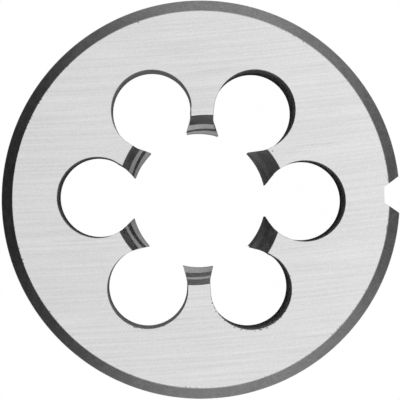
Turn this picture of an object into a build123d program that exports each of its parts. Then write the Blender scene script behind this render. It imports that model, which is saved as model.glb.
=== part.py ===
from build123d import *
from math import radians, tan
import os

# A solid round threading die, M22 x 2.5, in the common 55 x 22 mm size. All lengths in millimetres.
# Origin on the axis in the lower face, +Z up the axis, the first chip hole on +X.

# Blank
outside_diameter = 55.0
thickness = 22.0
rim_chamfer = 1.5

# Thread: right-hand. Its crests stand at the root diameter of the screw that it cuts,
# and its grooves run a little deeper than the screw's major diameter.
major_diameter = 22.0
minor_diameter = 18.8
pitch = 2.5
groove_clearance = 0.125
groove_floor = pitch / 8
groove_half_angle = 30.0
thread_start = 0.48

# Chip holes, which break into the bore and leave the cutting lands between them
chip_hole_count = 6
chip_hole_diameter = 11.14
chip_hole_circle = 28.6

# Cutting faces: flats along the radius from the bore into each chip hole
cutting_face_turn = 16.3

# Lead cones, one in each face, turned off centre on each land so that it falls away
# behind its cutting edge
lead_mouth_diameter = 23.6
lead_half_angle = 23.4
lead_relief = 0.93

# V notch in the rim, for the spreading screw of a die stock
notch_depth = 2.2
notch_floor = 2.2
notch_half_angle = 34.5
notch_turn = 2.4

# Conical dimples in the rim, for the set screws of a die stock, turned from the notch
dimple_depth = 3.5
dimple_half_angle = 45.0
dimple_turns = (60.0, 135.0, -135.0, -60.0)

# Cutters run this far past the surface that they open
overrun = 1.0

outside_radius = outside_diameter / 2
minor_radius = minor_diameter / 2
groove_floor_radius = major_diameter / 2 + groove_clearance
hole_circle_radius = chip_hole_circle / 2
land_spacing = 360 / chip_hole_count
land_half_width = hole_circle_radius * tan(radians(land_spacing / 2))
cutting_face_half_width = hole_circle_radius * tan(radians(cutting_face_turn))
notch_floor_x = outside_radius - notch_depth
notch_mouth_x = outside_radius + overrun
notch_mouth = notch_floor + 2 * (notch_depth + overrun) * tan(radians(notch_half_angle))
dimple_reach = dimple_depth + overrun
dimple_mouth_radius = dimple_reach * tan(radians(dimple_half_angle))

# One land's share of a lead cone, with the land on +X and the die's face at zero height
lead_outer_radius = lead_mouth_diameter / 2 + overrun * tan(radians(lead_half_angle))
lead_inner_radius = minor_radius - lead_relief
lead_length = (lead_outer_radius - lead_inner_radius) / tan(radians(lead_half_angle))
with BuildPart() as lead_cutter:
    with Locations((0, -lead_relief, overrun)):
        Cone(
            lead_inner_radius,
            lead_outer_radius,
            lead_length,
            align=(Align.CENTER, Align.CENTER, Align.MAX),
        )
    with BuildSketch(Plane.XY.offset(overrun)):
        with BuildLine():
            Polyline(
                (0, 0),
                (hole_circle_radius, -land_half_width),
                (hole_circle_radius, land_half_width),
                close=True,
            )
        make_face()
    extrude(amount=-lead_length, mode=Mode.INTERSECT)

# One land's share of one turn of the thread groove, swept up the helix from +X.
# It starts and ends inside the chip holes, and reaches in past the crests.
groove_turn = 44.0
groove_inner_radius = minor_radius - 0.25
groove_depth = groove_floor_radius - groove_inner_radius
groove_mouth = groove_floor + 2 * groove_depth * tan(radians(groove_half_angle))
with BuildPart() as groove_cutter:
    with BuildLine() as groove_path:
        Helix(pitch, pitch * groove_turn / 360, groove_inner_radius)
    with BuildSketch(Plane.XZ):
        with BuildLine():
            Polyline(
                (groove_inner_radius, groove_mouth / 2),
                (groove_floor_radius, groove_floor / 2),
                (groove_floor_radius, -groove_floor / 2),
                (groove_inner_radius, -groove_mouth / 2),
                close=True,
            )
        make_face()
    sweep(path=groove_path.line, is_frenet=True)

# Where the groove segments start: one on every land for every turn, each on the same helix
groove_starts = []
for turn in range(-1, int(thickness / pitch) + 1):
    for land in range(chip_hole_count):
        angle = land_spacing * (land + 0.5) - groove_turn / 2
        height = thread_start + pitch * (turn + angle / 360)
        groove_starts.append(Location((0, 0, height), (0, 0, angle)))

with BuildPart() as die_body:
    # Turned and faced blank with a bore at the thread's crests
    Cylinder(outside_radius, thickness, align=(Align.CENTER, Align.CENTER, Align.MIN))
    chamfer(die_body.edges().filter_by(GeomType.CIRCLE), rim_chamfer)
    with Locations((0, 0, thickness)):
        Hole(minor_radius)

    # Chip holes, and the cutting faces that join them to the bore
    with BuildSketch():
        with PolarLocations(hole_circle_radius, chip_hole_count):
            Circle(chip_hole_diameter / 2)
        with PolarLocations(0, chip_hole_count):
            Polygon(
                (0, 0),
                (hole_circle_radius, -cutting_face_half_width),
                (hole_circle_radius, cutting_face_half_width),
                align=None,
            )
    extrude(amount=thickness, mode=Mode.SUBTRACT)

    # Lead cones
    with Locations(Location((0, 0, thickness)), Location((0, 0, 0), (180, 0, 0))):
        with PolarLocations(0, chip_hole_count, start_angle=land_spacing / 2):
            add(lead_cutter.part, mode=Mode.SUBTRACT)

    # Thread
    with Locations(*groove_starts):
        add(groove_cutter.part, mode=Mode.SUBTRACT)

    # V notch, flat at its floor
    with BuildSketch(Plane.XY.rotated((0, 0, notch_turn))):
        with BuildLine():
            Polyline(
                (notch_mouth_x, notch_mouth / 2),
                (notch_floor_x, notch_floor / 2),
                (notch_floor_x, -notch_floor / 2),
                (notch_mouth_x, -notch_mouth / 2),
                close=True,
            )
        make_face()
    extrude(amount=thickness, mode=Mode.SUBTRACT)

    # Set-screw dimples at mid height, each drilled along its own radius
    for turn in dimple_turns:
        radial_plane = Plane.YZ.rotated((0, 0, notch_turn + turn)).offset(notch_mouth_x - dimple_reach)
        with Locations(radial_plane):
            with Locations((0, thickness / 2)):
                Cone(
                    0,
                    dimple_mouth_radius,
                    dimple_reach,
                    align=(Align.CENTER, Align.CENTER, Align.MIN),
                    mode=Mode.SUBTRACT,
                )

die_body.part.label = "die_body"
os.makedirs("parts", exist_ok=True)
export_step(die_body.part, "parts/die_body.step")
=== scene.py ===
import math
import bpy
import bmesh
import numpy as np
from mathutils import Matrix, Vector


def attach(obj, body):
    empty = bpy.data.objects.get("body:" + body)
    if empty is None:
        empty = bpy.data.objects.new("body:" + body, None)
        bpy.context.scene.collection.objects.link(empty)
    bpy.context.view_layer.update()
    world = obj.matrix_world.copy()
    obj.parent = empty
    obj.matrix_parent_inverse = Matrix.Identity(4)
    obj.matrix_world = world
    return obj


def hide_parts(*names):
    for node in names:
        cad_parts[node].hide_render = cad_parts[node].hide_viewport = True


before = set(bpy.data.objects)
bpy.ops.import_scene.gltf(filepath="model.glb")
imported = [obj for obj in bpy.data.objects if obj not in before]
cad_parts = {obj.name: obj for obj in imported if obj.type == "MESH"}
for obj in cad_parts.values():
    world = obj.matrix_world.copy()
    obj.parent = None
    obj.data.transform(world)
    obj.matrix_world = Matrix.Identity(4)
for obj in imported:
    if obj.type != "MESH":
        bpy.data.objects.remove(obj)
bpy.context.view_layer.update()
millimetre = 0.001
print("frame loaded")

# The die's own lengths in millimetres and angles in degrees, the same as its solid's.
# Rows of six go hole by hole or land by land from +X, against the clock.
die = {
    "outsideRadius": 27.494,
    "thickness": 22.0,
    "chamfer": 1.5,
    "edgeBreak": 0.05,              # tiny flat on every outer corner
    "grooveFloorRadius": 11.125,
    "crestRadius": 9.4,
    "pitch": 2.5,
    "flankAngle": 30.0,
    "threadStart": 0.48,
    "boreShift": (-0.17, -0.06),    # how far off the rim's axis the bore was tapped
    "leadMouth": 11.8,
    "leadHalfAngle": 23.4,
    "leadRelief": 0.93,
    "leadMiddle": 10.6,             # radius half way down a lead cone
    "holeCount": 6,
    "holeRadius": 5.57,
    "holeCircle": 14.3,
    # Drift of each hole off true, across as the real part and along as the imaginary one
    "holeTops": (0.06 + 0.04j, 0.095 + 0.07j, 0.17 - 0.21j,
                 0.065 + 0.045j, 0.06 + 0.03j, -0.01 + 0.14j),
    "holeBottoms": (0.175 + 0.173j, -0.045 + 0.1j, 0.165 + 0.02j,
                    0.03 + 0.17j, 0.04 + 0.01j, -0.13 + 0.255j),
    # Cutting edges: each one's angle from the hole beside it, and how far past that hole its
    # face is ground, at the start and at the end of every land
    "startTurns": (13.6, 15.3, 17.5, 16.4, 16.2, 17.1),
    "endTurns": (13.9, 17.4, 17.4, 16.6, 18.2, 13.3),
    "startSpread": (1.1, 2.45, 2.05, 0.55, 1.05, 1.8),
    "endSpread": (1.05, 1.9, 1.8, 0.9, 3.2, 0.6),
    "faceReach": 12.6,              # radius at which the cutting faces run out
    "faceRun": 2.55,                # length over which they do
    "notchDepth": 2.2,
    "notchFloor": 2.2,
    "notchHalfAngle": 34.5,
    "notchTurn": 2.4,
    "dimpleDepth": 3.5,
    "dimpleTurns": (60.0, 135.0, 225.0, 300.0),
}

# How finely the mesh is divided
fineness = {
    "landColumns": 30,
    "holeColumns": 52,
    "faceColumns": 4,
    "holeArc": 150.0,               # half of the arc that a hole's even columns cover
    "holeEase": 6,                  # power with which its last columns reach the cutting faces
    "settling": 8,                  # rounds in which a land's ends are found
    "leastGap": 0.004,              # closest that two rows may come
    "coneSteepness": 0.3,           # radius by height over which a land's face is a cone's
    "flankSteepness": 1.1,          # and over which it is a flank's
    "chamferRows": 4,
    "bandHeight": 4.0,              # first row of the plain rim
    "rimStep": 1.5,                 # degrees between rim columns
    "mouthShare": 0.05,             # share of the rim over which its columns ease to the notch
    "notchColumns": 5,
    "dimplePatch": 4.2,             # half-width of the square of rim that holds a dimple
    "dimpleCells": 12,              # squares from a dimple's middle to the side of that patch
    "dimpleRing": 9,                # squares from its middle to its edge
    "sharpAngle": 16.0,
}

# Parts of the surface, numbered in this order, and the material of each
zoneMaterial = {
    "holeWall": "boredSteel",
    "cuttingFace": "leadSteel",
    "leadCone": "leadSteel",
    "flank": "threadSteel",
    "crest": "threadSteel",
    "chamfer": "turnedSteel",
    "rim": "rimSteelPaintedLighter",
    "dimple": "turnedSteel",
    "notch": "turnedSteel",
    "flatFace": "groundSteel",
}
zoneNumber = {name: number for number, name in enumerate(zoneMaterial)}

sector = 2 * math.pi / die["holeCount"]
leadSlope = math.tan(math.radians(die["leadHalfAngle"]))     # radius lost for each length of depth
flankSlope = 1 / math.tan(math.radians(die["flankAngle"]))   # radius won for each length into a groove
grooveHalfFloor = die["pitch"] / 16
nearly = 1e-6
tiny = 1e-9


# Lead cones at an angle: each land's cone stands off centre by the relief, so its radius
# there is the mouth's, less relief times the sine of the angle from the land's middle.
def leadRadii(theta):
    fromMiddle = theta - (np.floor(theta / sector) + 0.5) * sector
    flat = die["leadMouth"] - (die["leadRelief"] * np.cos(fromMiddle)) ** 2 / (2 * die["leadMiddle"])
    swing = die["leadRelief"] * np.sin(fromMiddle)
    return flat - swing, flat + swing                    # upper cone, lower cone


# Heights of the groove centres at an angle, one turn apart, climbing a pitch a turn
def grooveCentres(theta):
    turns = np.arange(-1, int(die["thickness"] / die["pitch"]) + 1)
    turns = turns.reshape((-1,) + (1,) * np.ndim(theta))
    return die["threadStart"] + die["pitch"] * (turns + theta / (2 * math.pi))


# Bore wall: the largest of the crest radius, the two cones and the groove's trapezoid
def wallRadius(theta, height):
    upper, lower = leadRadii(theta)
    away = np.abs(height - grooveCentres(theta)).min(axis=0)
    groove = die["grooveFloorRadius"] - np.maximum(away - grooveHalfFloor, 0) * flankSlope
    cones = np.maximum(upper - (die["thickness"] - height) * leadSlope, lower - height * leadSlope)
    return np.maximum(np.maximum(cones, groove), die["crestRadius"])


# The wall as cut: the radius and the part of the bore's shift that lies along it
def shiftedWall(theta, height):
    across, along = die["boreShift"]
    return wallRadius(theta, height) + across * np.cos(theta) + along * np.sin(theta)


# Heights at which the wall's profile turns at an angle, sorted upwards: where the cones meet
# the crests, and for each groove both ends of its floor and where its flanks come out, on a
# crest or on one of the cones.
def profileHeights(theta):
    tall, floor, crest = die["thickness"], die["grooveFloorRadius"], die["crestRadius"]
    upper, lower = leadRadii(theta)
    centre = grooveCentres(theta)
    low, high = centre - grooveHalfFloor, centre + grooveHalfFloor
    rise, fall = flankSlope - leadSlope, flankSlope + leadSlope
    run = (floor - crest) / flankSlope
    start = np.maximum(low - run, (upper - tall * leadSlope - floor + low * flankSlope) / rise)
    start = np.maximum(start, (lower - floor + low * flankSlope) / fall)
    end = np.minimum(high + run, (floor - lower + high * flankSlope) / rise)
    end = np.minimum(end, (floor - upper + tall * leadSlope + high * flankSlope) / fall)
    floorTop, floorBottom = tall - (upper - floor) / leadSlope, (lower - floor) / leadSlope
    grooves = np.clip(np.concatenate([start, low, high, end]), floorBottom, floorTop)
    cones = np.stack([(lower - crest) / leadSlope, tall - (upper - crest) / leadSlope])
    return np.sort(np.concatenate([grooves, cones]), axis=0)


# Row heights on the wall: the profile's heights at each point's own angle, kept inside the
# edge breaks and at least the least gap apart.
def rowHeights(theta):
    rows = theta.shape[0]
    index = np.arange(rows).reshape((-1,) + (1,) * (theta.ndim - 1))
    picked = profileHeights(theta)[np.arange(rows), np.arange(rows)]
    gap, edge = fineness["leastGap"], die["edgeBreak"] + fineness["leastGap"]
    picked = np.maximum(picked, edge + index * gap)
    picked = np.maximum.accumulate(picked - index * gap, axis=0) + index * gap
    return np.minimum(picked, die["thickness"] - edge - (rows - 1 - index) * gap)


# Angle from a chip hole's own direction at which a circle about the axis crosses the hole:
# cosine = (radius^2 + hole circle^2 - hole radius^2) / (2 * radius * hole circle)
def holeAngle(radius):
    circle, size = die["holeCircle"], die["holeRadius"]
    ratio = (radius ** 2 + circle ** 2 - size ** 2) / (2 * radius * circle)
    return np.arccos(np.clip(ratio, -1, 1))


# Cutting face: at each radius its angle from the hole is the cutting edge's, or where it is
# more the hole's own plus the face's spread, which runs out towards the face's reach. The
# lands lie along the second axis of the radii. Side is 1 at their starts and -1 at their ends.
def faceAngle(radius, side):
    shape = (-1,) + (1,) * (radius.ndim - 2)
    turn = np.radians(die["startTurns"] if side > 0 else die["endTurns"]).reshape(shape)
    spread = np.radians(die["startSpread"] if side > 0 else die["endSpread"]).reshape(shape)
    hole = sector * (np.arange(die["holeCount"]) + (0 if side > 0 else 1)).reshape(shape)
    taper = np.clip((die["faceReach"] - radius) / die["faceRun"], 0, 1) ** 1.5
    return hole + side * np.maximum(turn, holeAngle(radius) + spread * taper)


# One side's end of every land, where the wall's radius meets the cutting face. Each follows
# from the other, so they are worked out in turn until they settle.
def landEnds(side, fixedHeights=None):
    rows = len(profileHeights(np.zeros(1))) if fixedHeights is None else len(fixedHeights)
    theta = faceAngle(np.full((rows, die["holeCount"]), die["crestRadius"]), side)
    for step in range(fineness["settling"]):
        height = rowHeights(theta) if fixedHeights is None else fixedHeights[:, None]
        theta = faceAngle(shiftedWall(theta, height), side)
    return theta


# The whole inner wall as a grid: rows climb, and columns go once round through every hole,
# cutting face and land. A land's columns share out the angle between its ends. A hole's share
# out its arc, and drift with the height from the lower drift to the upper one.
def innerWall():
    tall, edge = die["thickness"], die["edgeBreak"]
    lowRows, highRows = np.array([0.0, edge]), np.array([tall - edge, tall])
    startAngle, endAngle = [
        np.concatenate([landEnds(side, lowRows), landEnds(side), landEnds(side, highRows)])
        for side in (1, -1)
    ]
    share = np.linspace(0, 1, fineness["landColumns"] + 1)
    theta = startAngle[:, :, None] + share * (endAngle - startAngle)[:, :, None]
    height = np.empty(theta.shape)
    height[:2], height[-2:] = lowRows[:, None, None], highRows[:, None, None]
    height[2:-2] = rowHeights(theta[2:-2])
    radius = shiftedWall(theta, height)
    land = radius * np.exp(1j * theta)

    # Holes: even steps over most of the arc, eased at both ends to where the cutting faces run out
    along = np.linspace(0, 1, fineness["holeColumns"] + 1)
    middle, ease = math.radians(fineness["holeArc"]), fineness["holeEase"]
    faceEnd = np.angle(die["faceReach"] * np.exp(1j * holeAngle(die["faceReach"])) - die["holeCircle"])
    arc = middle * (2 * along - 1) + (middle - faceEnd) * ((1 - along) ** ease - along ** ease)
    direction = np.exp(1j * sector * np.arange(die["holeCount"]))[:, None]
    heightBefore = np.roll(height[:, :, -1:], 1, axis=1)
    holeHeight = heightBefore + along * (height[:, :, :1] - heightBefore)
    tops, bottoms = np.array(die["holeTops"])[:, None], np.array(die["holeBottoms"])[:, None]
    drift = (bottoms + (tops - bottoms) * holeHeight / tall) * (1 - np.abs(2 * along - 1) ** ease)
    hole = (die["holeCircle"] + die["holeRadius"] * np.exp(1j * arc)) * direction + drift

    # Both cutting faces of every land, from the hole to the land and back again
    share = np.arange(1, fineness["faceColumns"]) / fineness["faceColumns"]
    firstReach = die["faceReach"] + (radius[:, :, :1] - die["faceReach"]) * share
    lastReach = radius[:, :, -1:] + (die["faceReach"] - radius[:, :, -1:]) * share
    firstFace = firstReach * np.exp(1j * faceAngle(firstReach, 1))
    lastFace = lastReach * np.exp(1j * faceAngle(lastReach, -1))
    firstHeight = np.repeat(height[:, :, :1], len(share), axis=2)
    lastHeight = np.repeat(height[:, :, -1:], len(share), axis=2)
    flat = np.concatenate([hole, firstFace, land, lastFace], axis=2).reshape(len(theta), -1)
    z = np.concatenate([holeHeight, firstHeight, height, lastHeight], axis=2).reshape(len(theta), -1)

    # The outermost loops are opened by the edge break, square to themselves
    for row in (0, -1):
        tangent = np.roll(flat[row], -1) - np.roll(flat[row], 1)
        flat[row] = flat[row] - 1j * tangent / np.abs(tangent) * edge

    # On the lands a face's steepness, radius by height, tells a flank, a cone and a crest apart
    steep = np.abs(np.diff(radius, axis=0) / np.maximum(np.diff(height, axis=0), nearly))
    steep = 0.5 * (steep[:, :, 1:] + steep[:, :, :-1])
    landZone = np.where(steep > fineness["coneSteepness"], zoneNumber["leadCone"], zoneNumber["crest"])
    landZone = np.where(steep > fineness["flankSteepness"], zoneNumber["flank"], landZone)
    shape = (len(theta) - 1, die["holeCount"])
    faceZone = np.full(shape + (fineness["faceColumns"],), zoneNumber["cuttingFace"])
    holeZone = np.full(shape + (fineness["holeColumns"],), zoneNumber["holeWall"])
    zones = np.concatenate([holeZone, faceZone, landZone, faceZone], axis=2).reshape(len(theta) - 1, -1)
    return np.stack([flat.real, flat.imag, z], axis=2), zones


# Radius of the rim at a height: straight between the corners of its chamfers and edge breaks
def rimRadius(height):
    big, cut, edge = die["outsideRadius"], die["chamfer"], die["edgeBreak"]
    fromFace = np.minimum(height, die["thickness"] - height)
    corners = [big - cut - edge, big - cut + edge, big - edge, big]
    return np.interp(fromFace, [0, edge, cut - edge, cut + edge], corners)


# Half-width q of a dimple's edge in a direction round its axis, where its cone leaves the rim:
# (apex + q)^2 + (q * cosine)^2 = outside radius^2
def dimpleReach(direction):
    apex = die["outsideRadius"] - die["dimpleDepth"]
    a = 1 + np.cos(direction) ** 2
    c = die["outsideRadius"] ** 2 - apex ** 2
    return (np.sqrt(apex ** 2 + a * c) - apex) / a


# Dimple in a patch of rim, with u and v from -1 to 1 across it. Square rings, numbered by the
# larger of |u| and |v|, become circles round the axis. Up to the dimple's edge they lie on its
# cone, at a radius of apex + q for a half-width q, and outside they ease back into the rim.
def pressedDimple(theta, height, turn):
    big, patch = die["outsideRadius"], fineness["dimplePatch"]
    apex = big - die["dimpleDepth"]
    u, v = (theta - turn) * big / patch, (height - die["thickness"] / 2) / patch
    ring = np.maximum(np.abs(u), np.abs(v))
    quarter = math.pi / 4
    sideways = np.where(u < 0, 4, 0) * quarter + quarter * v / np.where(np.abs(u) < tiny, tiny, u)
    upright = np.where(v > 0, 2, -2) * quarter - quarter * u / np.where(np.abs(v) < tiny, tiny, v)
    direction = np.where(np.abs(u) >= np.abs(v), sideways, upright)
    reach = dimpleReach(direction)
    edgeRing = fineness["dimpleRing"] / fineness["dimpleCells"]
    inCone = ring <= edgeRing + nearly
    q = reach * ring / edgeRing
    blend = np.clip((ring - edgeRing) / (1 - edgeRing), 0, 1)
    edgeTheta = np.arctan2(reach * np.cos(direction), apex + reach)
    edgeHeight = reach * np.sin(direction)
    outTheta = edgeTheta + (u * patch / big - edgeTheta) * blend
    outHeight = edgeHeight + (v * patch - edgeHeight) * blend
    flat = np.where(inCone, apex + q + 1j * q * np.cos(direction), big * np.exp(1j * outTheta))
    z = np.where(inCone, q * np.sin(direction), outHeight) + die["thickness"] / 2
    faceU = 0.25 * (u[1:, 1:] + u[1:, :-1] + u[:-1, 1:] + u[:-1, :-1])
    faceV = 0.25 * (v[1:, 1:] + v[1:, :-1] + v[:-1, 1:] + v[:-1, :-1])
    isDimple = np.maximum(np.abs(faceU), np.abs(faceV)) < edgeRing
    return ring < 1 - nearly, flat * np.exp(1j * turn), z, isDimple


# The outer wall as a grid: rows climb, and columns go round the rim from one side of the notch
# to the other, then down its flank, across its floor and up again. A point of the rim is
# radius * exp(i * angle), and the notch's mouth is its flank's line set into the rim's circle.
def outerWall():
    big, tall, edge, cut = die["outsideRadius"], die["thickness"], die["edgeBreak"], die["chamfer"]
    patch, cells, band = fineness["dimplePatch"], fineness["dimpleCells"], fineness["bandHeight"]
    chamferHeights = np.linspace(edge, cut - edge, fineness["chamferRows"])
    lowHeights = np.concatenate([[0], chamferHeights, [cut + edge, band]])
    dimpleHeights = tall / 2 + np.linspace(-patch, patch, 2 * cells + 1)
    heights = np.concatenate([lowHeights, dimpleHeights, tall - lowHeights[::-1]])
    radius = rimRadius(heights)

    notchSlope = math.tan(math.radians(die["notchHalfAngle"]))
    floorX, halfFloor = big - die["notchDepth"], die["notchFloor"] / 2
    a = 1 + notchSlope ** 2
    b = notchSlope * halfFloor - notchSlope ** 2 * floorX
    c = (halfFloor - notchSlope * floorX) ** 2 - radius ** 2
    mouthX = (-b + np.sqrt(b ** 2 - a * c)) / a
    mouthY = halfFloor + (mouthX - floorX) * notchSlope
    rimStart = math.atan2(halfFloor + die["notchDepth"] * notchSlope, big)

    # Rim columns: even steps, with finer ones about each dimple, eased to the mouth at both ends
    turns = np.radians(die["dimpleTurns"])
    patchEnds = np.stack([turns - patch / big, turns + patch / big], axis=1).ravel()
    stops = np.concatenate([[rimStart], patchEnds, [2 * math.pi - rimStart]])
    pieces = []
    for number, (first, last) in enumerate(zip(stops[:-1], stops[1:])):
        even = max(2, round(math.degrees(last - first) / fineness["rimStep"]))
        count = 2 * cells if number % 2 else even
        pieces.append(first + (last - first) * np.arange(count) / count)
    nominal = np.concatenate(pieces + [stops[-1:]])
    share = (nominal - rimStart) / (stops[-1] - rimStart)
    ease = np.maximum(0, 1 - np.minimum(share, 1 - share) / fineness["mouthShare"]) ** 2
    ease = np.where(share < 0.5, 1, -1) * ease
    theta = nominal + (np.arctan2(mouthY, mouthX) - rimStart)[:, None] * ease
    flat = radius[:, None] * np.exp(1j * theta)
    height = np.repeat(heights[:, None], len(nominal), axis=1)
    z = height.copy()
    middleHeight = 0.5 * (heights[1:] + heights[:-1])
    isChamfer = (middleHeight < cut) | (middleHeight > tall - cut)
    rimZone = np.where(isChamfer, zoneNumber["chamfer"], zoneNumber["rim"])
    zones = np.repeat(rimZone[:, None], len(nominal) - 1, axis=1)
    for turn in turns:
        inside, pressed, pressedHeight, isDimple = pressedDimple(theta, height, turn)
        flat, z = np.where(inside, pressed, flat), np.where(inside, pressedHeight, z)
        zones = np.where(isDimple, zoneNumber["dimple"], zones)

    # Notch columns: down one flank, across the floor, up the other
    steps = np.linspace(0, 1, fineness["notchColumns"] + 1)[1:]
    flank = (mouthX + 1j * mouthY)[:, None]
    flank = flank + (floorX + 1j * halfFloor - flank) * steps
    floorY = np.linspace(-halfFloor, halfFloor, fineness["notchColumns"] + 1)[1:-1]
    floor = np.repeat((floorX + 1j * floorY)[None, :], len(heights), axis=0)
    notch = np.concatenate([flank.conj(), floor, flank[:, ::-1]], axis=1)
    flat = np.concatenate([flat, notch], axis=1) * np.exp(1j * math.radians(die["notchTurn"]))
    z = np.concatenate([z, np.repeat(heights[:, None], notch.shape[1], axis=1)], axis=1)
    notchZone = np.full((len(heights) - 1, notch.shape[1] + 1), zoneNumber["notch"])
    return np.stack([flat.real, flat.imag, z], axis=2), np.concatenate([zones, notchZone], axis=1)


# Quads of a grid whose columns close on themselves: each joins a point, the one to its right
# and the two above them
def gridQuads(rows, columns, first):
    index = first + np.arange(rows * columns).reshape(rows, columns)
    right = np.roll(index, -1, axis=1)
    return np.stack([index[:-1], right[:-1], right[1:], index[1:]], axis=2).reshape(-1, 4)


# The closed die: both walls, and a flat face filled between their loops at each end
def closedMesh(name, materials):
    inner, innerZones = innerWall()
    outer, outerZones = outerWall()
    innerSize = inner.shape[0] * inner.shape[1]
    points = np.concatenate([inner.reshape(-1, 3), outer.reshape(-1, 3)]) * millimetre
    quads = np.concatenate([gridQuads(*inner.shape[:2], 0), gridQuads(*outer.shape[:2], innerSize)])
    zones = np.concatenate([innerZones.ravel(), outerZones.ravel()])
    slot = {label: number for number, label in enumerate(materials)}
    zoneSlots = np.array([slot[label] for label in zoneMaterial.values()], dtype=np.int32)
    mesh = bpy.data.meshes.new(name)
    mesh.from_pydata(points.tolist(), [], quads.tolist())
    for material in materials.values():
        mesh.materials.append(material)
    mesh.polygons.foreach_set("material_index", zoneSlots[zones])
    mesh.update()

    shape = bmesh.new()
    shape.from_mesh(mesh)
    half = die["thickness"] / 2 * millimetre
    for isTop in (False, True):
        border = [edge for edge in shape.edges if edge.is_boundary]
        loops = [edge for edge in border if (edge.verts[0].co.z > half) == isTop]
        filled = bmesh.ops.triangle_fill(shape, edges=loops, use_beauty=True, use_dissolve=False)["geom"]
        for face in filled:
            if isinstance(face, bmesh.types.BMFace):
                face.material_index = slot[zoneMaterial["flatFace"]]
    bmesh.ops.recalc_face_normals(shape, faces=shape.faces)
    openEdges = sum(len(edge.link_faces) != 2 for edge in shape.edges)
    print(name, "mesh:", len(shape.faces), "faces,", openEdges, "open edges")
    shape.to_mesh(mesh)
    shape.free()
    mesh.shade_smooth()
    mesh.set_sharp_from_angle(angle=math.radians(fineness["sharpAngle"]))
    piece = bpy.data.objects.new(name, mesh)
    bpy.context.collection.objects.link(piece)

    # Faces count by their size, so that slivers don't sway the shading
    weighted = piece.modifiers.new("weightedNormal", "WEIGHTED_NORMAL")
    weighted.keep_sharp = True
    weighted.weight = 100
    return piece


# A node with its settings, and its inputs by name or number: a socket is linked, a value is set
def node(tree, kind, inputs=None, **settings):
    made = tree.nodes.new(kind)
    for key, value in settings.items():
        setattr(made, key, value)
    for key, value in (inputs or {}).items():
        if isinstance(value, bpy.types.NodeSocket):
            tree.links.new(value, made.inputs[key])
        else:
            made.inputs[key].default_value = value
    return made


# Short names for the nodes that are used most, each giving back its output
def maths(tree, operation, *values):
    return node(tree, "ShaderNodeMath", dict(enumerate(values)), operation=operation).outputs[0]


def vectors(tree, operation, *values):
    made = node(tree, "ShaderNodeVectorMath", dict(enumerate(values)), operation=operation)
    return made.outputs["Value" if operation in ("LENGTH", "DOT_PRODUCT") else "Vector"]


def joined(tree, *values):
    return node(tree, "ShaderNodeCombineXYZ", dict(enumerate(values))).outputs[0]


def split(tree, vector):
    return node(tree, "ShaderNodeSeparateXYZ", {0: vector}).outputs


def noise(tree, vector, scale, detail=2.0, rough=0.5):
    inputs = {"Vector": vector, "Scale": scale, "Detail": detail, "Roughness": rough}
    return node(tree, "ShaderNodeTexNoise", inputs).outputs["Fac"]


# A value carried from one span to another and held at both ends
def ramp(tree, value, low, high, start=0.0, end=1.0, smooth=True):
    inputs = {"Value": value, "From Min": low, "From Max": high, "To Min": start, "To Max": end}
    blend = "SMOOTHSTEP" if smooth else "LINEAR"
    return node(tree, "ShaderNodeMapRange", inputs, interpolation_type=blend).outputs[0]


# A node group that takes the position and some values, and gives masks
def effect(name, inputs, outputs):
    group = bpy.data.node_groups.new(name, "ShaderNodeTree")
    group.interface.new_socket(name="Position", in_out="INPUT", socket_type="NodeSocketVector")
    for label, value in inputs.items():
        socket = group.interface.new_socket(name=label, in_out="INPUT", socket_type="NodeSocketFloat")
        socket.default_value = value
    for label in outputs:
        group.interface.new_socket(name=label, in_out="OUTPUT", socket_type="NodeSocketFloat")
    return group, node(group, "NodeGroupInput").outputs, node(group, "NodeGroupOutput").inputs


# What the effects start from, in metres and in marks to the metre
grinding = {"Centre X": -0.048, "Centre Y": 0.476, "Lines": 3000.0, "Runs": 52.0, "Streak Lines": 1260.0,
            "Streak Runs": 55.0, "Cloud Scale": 160.0, "Grain Scale": 5200.0}
turning = {"Lines": 5200.0, "Turn Scale": 2.2, "Patch Scale": 900.0, "Grain Scale": 3600.0}
burring = {"Edge Radius": 0.026, "Hole Circle": 0.0143, "Hole Radius": 0.00557, "Depth": 0.00036,
           "Falloff": 0.3, "Teeth": 3400.0, "Run Scale": 130.0, "Gap": 0.12,
           "Side Start": -0.012, "Side End": 0.006, "Side Distance": 0.0006}
pitting = {"At X": 0.0, "At Y": 0.0, "Radius": 0.0001}


# Grinding lines: arcs about a far centre. With p the distance from that centre and s the
# length along the arc, noise(p * lines, s * runs) gives the lines and a slower one the streaks.
def grindingLines():
    group, given, wanted = effect("grindingLines", grinding, ["Lines", "Streaks", "Clouds", "Grain"])
    x, y, z = split(group, given["Position"])
    across = maths(group, "SUBTRACT", x, given["Centre X"])
    along = maths(group, "SUBTRACT", y, given["Centre Y"])
    away = vectors(group, "LENGTH", joined(group, across, along))
    turn = maths(group, "ARCTAN2", across, maths(group, "MULTIPLY", along, -1.0))
    arc = maths(group, "MULTIPLY", turn, away)
    lineAway = maths(group, "MULTIPLY", away, given["Lines"])
    lineArc = maths(group, "MULTIPLY", arc, given["Runs"])
    streakAway = maths(group, "MULTIPLY", away, given["Streak Lines"])
    streakArc = maths(group, "MULTIPLY", arc, given["Streak Runs"])
    lines = noise(group, joined(group, lineAway, lineArc, z), 1.0, 2.0, 0.6)
    streaks = noise(group, joined(group, streakAway, streakArc, z), 1.0, 1.0)
    group.links.new(ramp(group, lines, 0.25, 0.75, smooth=False), wanted["Lines"])
    group.links.new(ramp(group, streaks, 0.66, 0.78), wanted["Streaks"])
    group.links.new(noise(group, given["Position"], given["Cloud Scale"], 2.0), wanted["Clouds"])
    group.links.new(noise(group, given["Position"], given["Grain Scale"], 1.0), wanted["Grain"])
    return group


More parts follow.
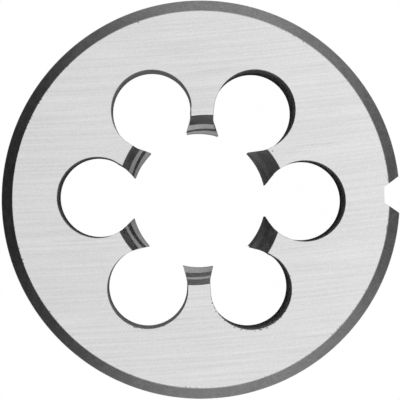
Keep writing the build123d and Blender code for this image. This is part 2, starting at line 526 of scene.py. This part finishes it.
# Turned rings: lines round the axis. With r the distance from the axis and z the height,
# noise((r + z) * lines, slow direction) gives the rings, and a round noise the patches.
def turnedRings():
    group, given, wanted = effect("turnedRings", turning, ["Rings", "Patches", "Grain"])
    x, y, z = split(group, given["Position"])
    away = vectors(group, "LENGTH", joined(group, x, y))
    directionX, directionY, flat = split(group, vectors(group, "NORMALIZE", joined(group, x, y)))
    lines = maths(group, "MULTIPLY", maths(group, "ADD", away, z), given["Lines"])
    slowX = maths(group, "MULTIPLY", directionX, given["Turn Scale"])
    slowY = maths(group, "MULTIPLY", directionY, given["Turn Scale"])
    rings = noise(group, joined(group, lines, slowX, slowY), 1.0, 2.0)
    patches = noise(group, given["Position"], given["Patch Scale"], 3.0, 0.6)
    group.links.new(ramp(group, rings, 0.25, 0.75, smooth=False), wanted["Rings"])
    group.links.new(ramp(group, patches, 0.3, 0.7), wanted["Patches"])
    group.links.new(noise(group, given["Position"], given["Grain Scale"], 1.0), wanted["Grain"])
    return group


# Burrs along an edge: teeth stand where noise - falloff * distance / depth - gap is over a
# half. The gap comes and goes with a slow noise, so that they stand in runs. The distance is
# the nearer of the rim's edge and the chip holes' edges, whose angle is folded into one sixth
# of the turn. The holes have theirs where x - y is high, the side on which the grinding
# strokes ran out, and elsewhere the side distance is added.
def edgeBurrs():
    group, given, wanted = effect("edgeBurrs", burring, ["Burrs"])
    x, y, z = split(group, given["Position"])
    flat = joined(group, x, y)
    away = vectors(group, "LENGTH", flat)
    turn = maths(group, "ARCTAN2", y, x)
    nearestHole = maths(group, "ROUND", maths(group, "DIVIDE", turn, sector))
    fold = maths(group, "SUBTRACT", turn, maths(group, "MULTIPLY", nearestHole, sector))
    across = maths(group, "MULTIPLY", away, maths(group, "COSINE", fold))
    along = maths(group, "MULTIPLY", away, maths(group, "SINE", fold))
    across = maths(group, "SUBTRACT", across, given["Hole Circle"])
    fromCentre = vectors(group, "LENGTH", joined(group, across, along))
    fromHole = maths(group, "ABSOLUTE", maths(group, "SUBTRACT", fromCentre, given["Hole Radius"]))
    towards = maths(group, "SUBTRACT", x, y)
    otherSide = ramp(group, towards, given["Side Start"], given["Side End"], given["Side Distance"], 0.0)
    fromHole = maths(group, "ADD", fromHole, otherSide)
    distance = maths(group, "MINIMUM", fromHole, maths(group, "SUBTRACT", given["Edge Radius"], away))
    falloff = maths(group, "MULTIPLY", maths(group, "DIVIDE", distance, given["Depth"]), given["Falloff"])
    gap = ramp(group, noise(group, flat, given["Run Scale"], 1.0), 0.47, 0.62, given["Gap"], 0.0)
    teeth = maths(group, "SUBTRACT", noise(group, flat, given["Teeth"], 1.0), falloff)
    group.links.new(ramp(group, maths(group, "SUBTRACT", teeth, gap), 0.47, 0.55), wanted["Burrs"])
    return group


# A small round pit: 1 inside the radius about a point, and 0 outside it
def pitMark():
    group, given, wanted = effect("pitMark", pitting, ["Pit"])
    x, y, z = split(group, given["Position"])
    across = maths(group, "SUBTRACT", x, given["At X"])
    along = maths(group, "SUBTRACT", y, given["At Y"])
    away = vectors(group, "LENGTH", joined(group, across, along))
    outside = ramp(group, maths(group, "DIVIDE", away, given["Radius"]), 0.7, 1.3)
    group.links.new(maths(group, "SUBTRACT", 1.0, outside), wanted["Pit"])
    return group


effects = {"lines": grindingLines(), "rings": turnedRings(), "burrs": edgeBurrs(), "pit": pitMark()}


# A material ready to be given its detail: the tree, its shader and the object's coordinates
def startMaterial(name):
    material = bpy.data.materials.new(name)
    material.use_nodes = True
    tree = material.node_tree
    place = node(tree, "ShaderNodeTexCoord").outputs["Object"]
    return material, tree, tree.nodes["Principled BSDF"], place


# An effect placed in a material, with the values that differ there
def applied(tree, name, place, values=None):
    inputs = {"Position": place, **(values or {})}
    return node(tree, "ShaderNodeGroup", inputs, node_tree=effects[name]).outputs


# Level * (1 + sum of contrast * (mask - centre)), for rows of a mask, its contrast and centre
def varied(tree, level, rows):
    total = 1.0
    for mask, contrast, centre in rows:
        change = maths(tree, "MULTIPLY", maths(tree, "SUBTRACT", mask, centre), contrast)
        total = maths(tree, "ADD", total, change)
    return maths(tree, "MULTIPLY", total, level)


brightest = 0.96     # no steel gives back more light than this


# Bare steel: the same varied grey in all three channels, a varied roughness and a bump
def finish(tree, shader, values, shades, roughShades, height):
    shade = maths(tree, "MINIMUM", varied(tree, values["shade"], shades), brightest)
    tree.links.new(joined(tree, shade, shade, shade), shader.inputs["Base Color"])
    tree.links.new(varied(tree, values["roughness"], roughShades), shader.inputs["Roughness"])
    bump = {"Height": height, "Strength": values["bump"], "Distance": values["bumpDepth"]}
    tree.links.new(node(tree, "ShaderNodeBump", bump).outputs[0], shader.inputs["Normal"])
    shader.inputs["Metallic"].default_value = 1


# The two flat faces
ground = {
    "shade": 0.7, "roughness": 0.26, "bump": 0.12, "bumpDepth": 0.00001,
    "lineContrast": 0.17, "streakContrast": -0.10, "cloudContrast": 0.05, "grainContrast": 0.20,
    "burrContrast": -0.7, "pitContrast": -0.6, "lineRoughness": 0.25, "burrRoughness": 0.3,
    "pit": {"At X": 0.00974, "At Y": 0.00687, "Radius": 0.00011},
}


def groundMaterial():
    material, tree, shader, place = startMaterial("groundSteel")
    lines = applied(tree, "lines", place)
    burrs = applied(tree, "burrs", place)["Burrs"]
    pit = applied(tree, "pit", place, ground["pit"])["Pit"]
    shades = [
        (lines["Lines"], ground["lineContrast"], 0.5),
        (lines["Streaks"], ground["streakContrast"], 0.05),
        (lines["Clouds"], ground["cloudContrast"], 0.5),
        (lines["Grain"], ground["grainContrast"], 0.5),
        (burrs, ground["burrContrast"], 0.0),
        (pit, ground["pitContrast"], 0.0),
    ]
    roughShades = [(lines["Lines"], ground["lineRoughness"], 0.5), (burrs, ground["burrRoughness"], 0.0)]
    finish(tree, shader, ground, shades, roughShades, lines["Lines"])
    return material


# All that was turned, drilled, bored or tapped
ringSteels = {
    "turnedSteel": {
        "shade": 0.375, "roughness": 0.36, "bump": 0.2, "bumpDepth": 0.00001, "lines": 5200.0,
        "patchScale": 900.0, "ringContrast": 0.10, "patchContrast": 0.06, "grainContrast": 0.60,
    },
    "boredSteel": {
        "shade": 0.48, "roughness": 0.56, "bump": 0.3, "bumpDepth": 0.00002, "lines": 2600.0,
        "patchScale": 500.0, "ringContrast": 0.12, "patchContrast": 0.25, "grainContrast": 0.2,
    },
    "leadSteel": {
        "shade": 0.85, "roughness": 0.38, "bump": 0.06, "bumpDepth": 0.00001, "lines": 4200.0,
        "patchScale": 700.0, "ringContrast": 0.08, "patchContrast": 0.1, "grainContrast": 0.25,
    },
    "threadSteel": {
        "shade": 0.29, "roughness": 0.34, "bump": 0.08, "bumpDepth": 0.00001, "lines": 4200.0,
        "patchScale": 1100.0, "ringContrast": 0.10, "patchContrast": 0.14, "grainContrast": 0.5,
    },
    # The rim: turned steel made lighter than the chamfer's, painted light that makes up for the dim floor
    # it reflects
    "rimSteelPaintedLighter": {
        "shade": 0.62, "roughness": 0.3, "bump": 0.15, "bumpDepth": 0.00001, "lines": 3600.0,
        "patchScale": 500.0, "ringContrast": 0.10, "patchContrast": 0.08, "grainContrast": 0.2,
    },
}
ringRoughness, patchRoughness = 0.2, 0.15


def ringMaterial(name, values):
    material, tree, shader, place = startMaterial(name)
    rings = applied(tree, "rings", place, {"Lines": values["lines"], "Patch Scale": values["patchScale"]})
    shades = [
        (rings["Rings"], values["ringContrast"], 0.5),
        (rings["Patches"], values["patchContrast"], 0.5),
        (rings["Grain"], values["grainContrast"], 0.5),
    ]
    roughShades = [(rings["Rings"], ringRoughness, 0.5), (rings["Patches"], patchRoughness, 0.5)]
    finish(tree, shader, values, shades, roughShades, rings["Rings"])
    return material


materials = {"groundSteel": groundMaterial()}
for name, values in ringSteels.items():
    materials[name] = ringMaterial(name, values)
print("materials made")

body = closedMesh("dieBody", materials)
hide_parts("die_body")
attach(body, "root")
print("die body built")

# Camera, in millimetres: high above the upper face, a little to the left and near side, and
# turned slightly
camera = {
    "distance": 571.0,
    "roll": 0.96,
    "across": -4.93,
    "along": -4.16,
    "aimAcross": -0.12,
    "aimAlong": -0.07,
    "lens": 373.3,
    "sensor": 36.0,
    "clipStart": 0.01,
    "clipEnd": 10.0,
}
roll = math.radians(camera["roll"])
right = Vector((math.cos(roll), math.sin(roll), 0))
up = Vector((-math.sin(roll), math.cos(roll), 0))
face = Vector((0, 0, die["thickness"]))
eye = right * camera["across"] + up * camera["along"] + face + Vector((0, 0, camera["distance"]))
aim = right * camera["aimAcross"] + up * camera["aimAlong"] + face
back = (eye - aim).normalized()
side = up.cross(back).normalized()
top = back.cross(side)
cameraData = bpy.data.cameras.new("camera")
cameraData.lens = camera["lens"]
cameraData.sensor_width = camera["sensor"]
cameraData.clip_start = camera["clipStart"]
cameraData.clip_end = camera["clipEnd"]
cameraObject = bpy.data.objects.new("camera", cameraData)
placed = Matrix((side, top, back)).transposed().to_4x4()
placed.translation = eye * millimetre
cameraObject.matrix_world = placed
bpy.context.collection.objects.link(cameraObject)
bpy.context.scene.camera = cameraObject
print("camera set")

# Floor, in metres: white to the camera. Reflections see a painted glow on it instead of lit paper: a pale
# ring close round the die, dim beyond it, and two pale spots of painted light through the chip holes on
# the left, which brighten those holes' walls.
floorLight = {
    "reach": 1.5,
    "drop": 0.00005,          # just under the die, so that the two don't flicker
    "paper": 0.8,
    "ringStart": 0.028,
    "ringFull": 0.040,
    "ringFade": 0.045,
    "ringEnd": 0.075,
    "ring": 0.5,
    "beyond": 0.04,
    "spotX": -0.004,
    "spotY": 0.0137,
    "spotStart": 0.004,
    "spotEnd": 0.0078,
    "spot": 0.22,
    "white": 1.012,
    "share": 0.98,            # how much of the floor the camera sees as white, the rest taking shadow
    "touching": 0.0004,       # rays shorter than this pass, for the die's own underside
}
reach, drop = floorLight["reach"], floorLight["drop"]
corners = [(-reach, -reach, -drop), (reach, -reach, -drop), (reach, reach, -drop), (-reach, reach, -drop)]
floorMesh = bpy.data.meshes.new("floor")
floorMesh.from_pydata(corners, [], [(0, 1, 2, 3)])
floor = bpy.data.objects.new("floor", floorMesh)
bpy.context.collection.objects.link(floor)
floorMaterial = bpy.data.materials.new("floorPaperAndPaintedGlow")
floorMaterial.use_nodes = True
tree = floorMaterial.node_tree
tree.nodes.clear()
path = node(tree, "ShaderNodeLightPath").outputs
where = node(tree, "ShaderNodeTexCoord").outputs["Object"]
away = vectors(tree, "LENGTH", where)
ringLight, dimLight = floorLight["ring"], floorLight["beyond"]
# Painted reflection: a pale glow in a ring round the die and a dim one beyond, seen only in reflections
ring = ramp(tree, away, floorLight["ringFade"], floorLight["ringEnd"], ringLight, dimLight)
ring = maths(tree, "MULTIPLY", ring, ramp(tree, away, floorLight["ringStart"], floorLight["ringFull"]))
whereX, whereY, whereZ = split(tree, where)
# Painted light: two pale spots of glow on the floor under the left chip holes, which their walls reflect
fromSpotX = maths(tree, "SUBTRACT", whereX, floorLight["spotX"])
fromSpotY = maths(tree, "SUBTRACT", maths(tree, "ABSOLUTE", whereY), floorLight["spotY"])
fromSpot = vectors(tree, "LENGTH", joined(tree, fromSpotX, fromSpotY))
paintedSpots = ramp(tree, fromSpot, floorLight["spotStart"], floorLight["spotEnd"], floorLight["spot"], 0.0)
white = maths(tree, "MULTIPLY", path["Is Camera Ray"], floorLight["white"])
strength = maths(tree, "MAXIMUM", maths(tree, "ADD", ring, paintedSpots), white)
shown = maths(tree, "MULTIPLY", path["Is Camera Ray"], floorLight["share"])
shown = maths(tree, "ADD", shown, path["Is Glossy Ray"])
shown = maths(tree, "ADD", shown, path["Is Transmission Ray"])
paper = node(tree, "ShaderNodeBsdfDiffuse", {"Color": (floorLight["paper"],) * 3 + (1,)})
glow = node(tree, "ShaderNodeEmission", {"Strength": strength})
sheet = node(tree, "ShaderNodeMixShader", {0: shown, 1: paper.outputs[0], 2: glow.outputs[0]})
beneath = node(tree, "ShaderNodeNewGeometry").outputs["Backfacing"]
touching = maths(tree, "LESS_THAN", path["Ray Length"], floorLight["touching"])
passes = maths(tree, "MAXIMUM", beneath, touching)
clear = node(tree, "ShaderNodeBsdfTransparent")
whole = node(tree, "ShaderNodeMixShader", {0: passes, 1: sheet.outputs[0], 2: clear.outputs[0]})
node(tree, "ShaderNodeOutputMaterial", {0: whole.outputs[0]})
floorMesh.materials.append(floorMaterial)

# World: soft panels, each strength * exp(softness * (cosine of the angle off its middle - 1))
panels = [
    {"turn": 60.0, "rise": 60.0, "strength": 1.10},
    {"turn": 300.0, "rise": 60.0, "strength": 1.03},
    {"turn": 90.0, "rise": 30.0, "strength": 0.34},
    {"turn": 270.0, "rise": 30.0, "strength": 0.42},
    {"turn": 45.0, "rise": 5.0, "strength": 0.53},
    {"turn": 90.0, "rise": 5.0, "strength": 0.84},
    {"turn": 270.0, "rise": 5.0, "strength": 0.58},
    {"turn": 315.0, "rise": 5.0, "strength": 0.73},
]
softness = 6.0
underLight = {"start": -0.03, "full": -0.25, "strength": 0.55}     # seen only from underneath
world = bpy.data.worlds.new("world")
bpy.context.scene.world = world
world.use_nodes = True
tree = world.node_tree
direction = vectors(tree, "NORMALIZE", node(tree, "ShaderNodeTexCoord").outputs["Generated"])
rise = split(tree, direction)[2]
total = ramp(tree, rise, underLight["start"], underLight["full"], 0.0, underLight["strength"])
for panel in panels:
    turn, rise = math.radians(panel["turn"]), math.radians(panel["rise"])
    middle = (math.cos(rise) * math.cos(turn), math.cos(rise) * math.sin(turn), math.sin(rise))
    off = maths(tree, "SUBTRACT", vectors(tree, "DOT_PRODUCT", direction, middle), 1.0)
    soft = maths(tree, "EXPONENT", maths(tree, "MULTIPLY", off, softness))
    total = maths(tree, "ADD", total, maths(tree, "MULTIPLY", soft, panel["strength"]))
background = tree.nodes["Background"]
tree.links.new(total, background.inputs["Strength"])
background.inputs["Color"].default_value = (1, 1, 1, 1)
bpy.context.scene.view_settings.view_transform = "Standard"
print("floor and light set")
